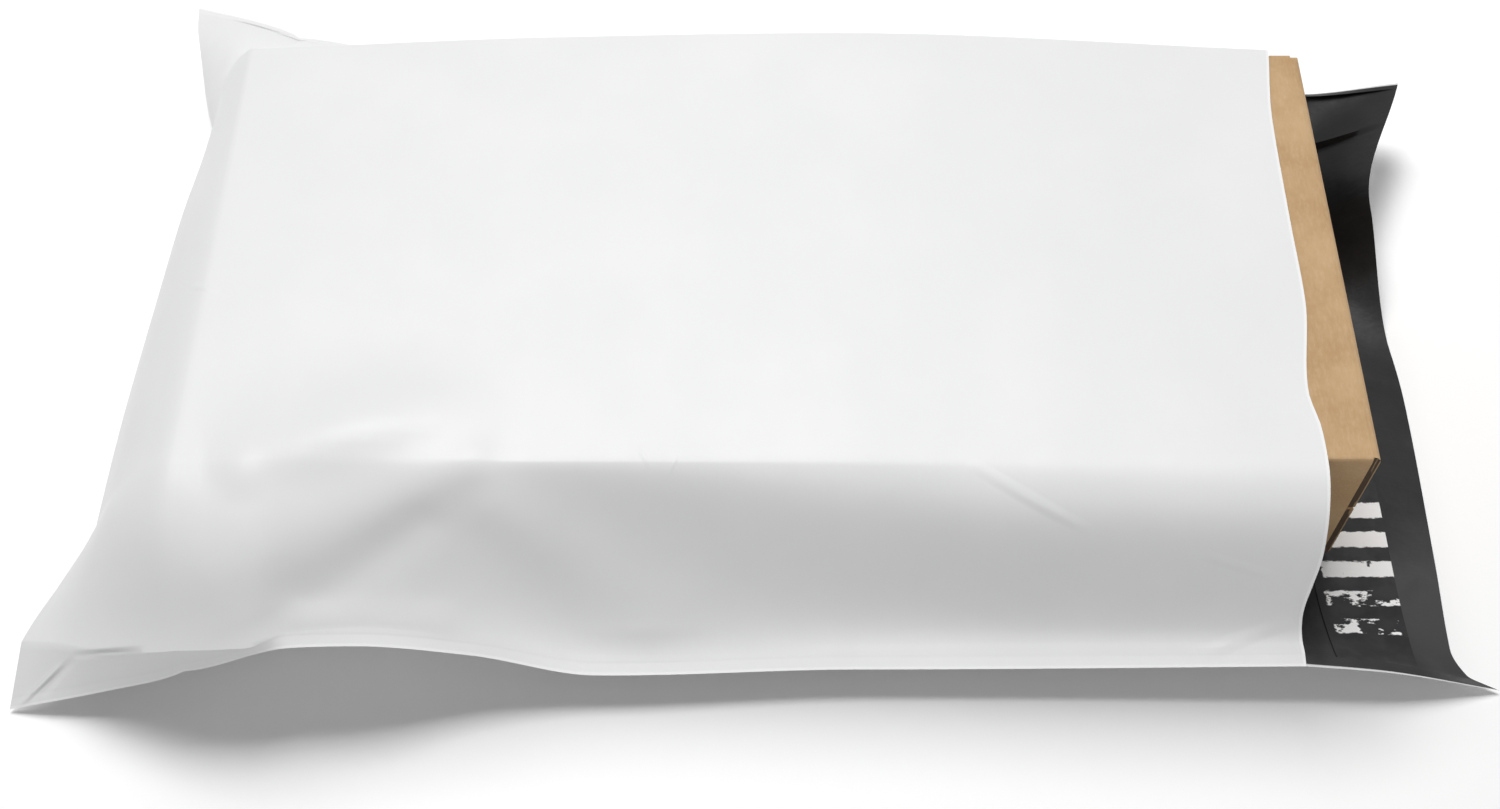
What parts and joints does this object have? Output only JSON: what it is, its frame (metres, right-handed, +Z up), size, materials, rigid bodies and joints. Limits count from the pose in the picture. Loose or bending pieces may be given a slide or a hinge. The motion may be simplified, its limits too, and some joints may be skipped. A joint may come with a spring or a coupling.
{
  "type": "poly mailer bag",
  "caption": "White film mailing bag with a black inside, lying on its back panel round a shallow corrugated carton that shows in the open mouth above the taped closing lip.",
  "frame": {"origin": "middle of the bag's outline, on the surface that its back panel lies on", "axes": "+X from the closed end to the mouth and lip, +Y to the far side weld, +Z up through the front panel"},
  "size_m": [0.3946, 0.2374, 0.0578],
  "materials": {
    "white_film": "satin co-extruded film, white outside and black inside",
    "kraft_board": "plain kraft corrugated board",
    "hot_melt": "tacky hot-melt adhesive",
    "liner_tape": "black release tape with worn white bars"
  },
  "bodies": {
    "root": {"mailer_bag": "white_film", "carton": "kraft_board", "adhesive_strip": "hot_melt", "release_liner": "liner_tape"}
  },
  "joints": []
}
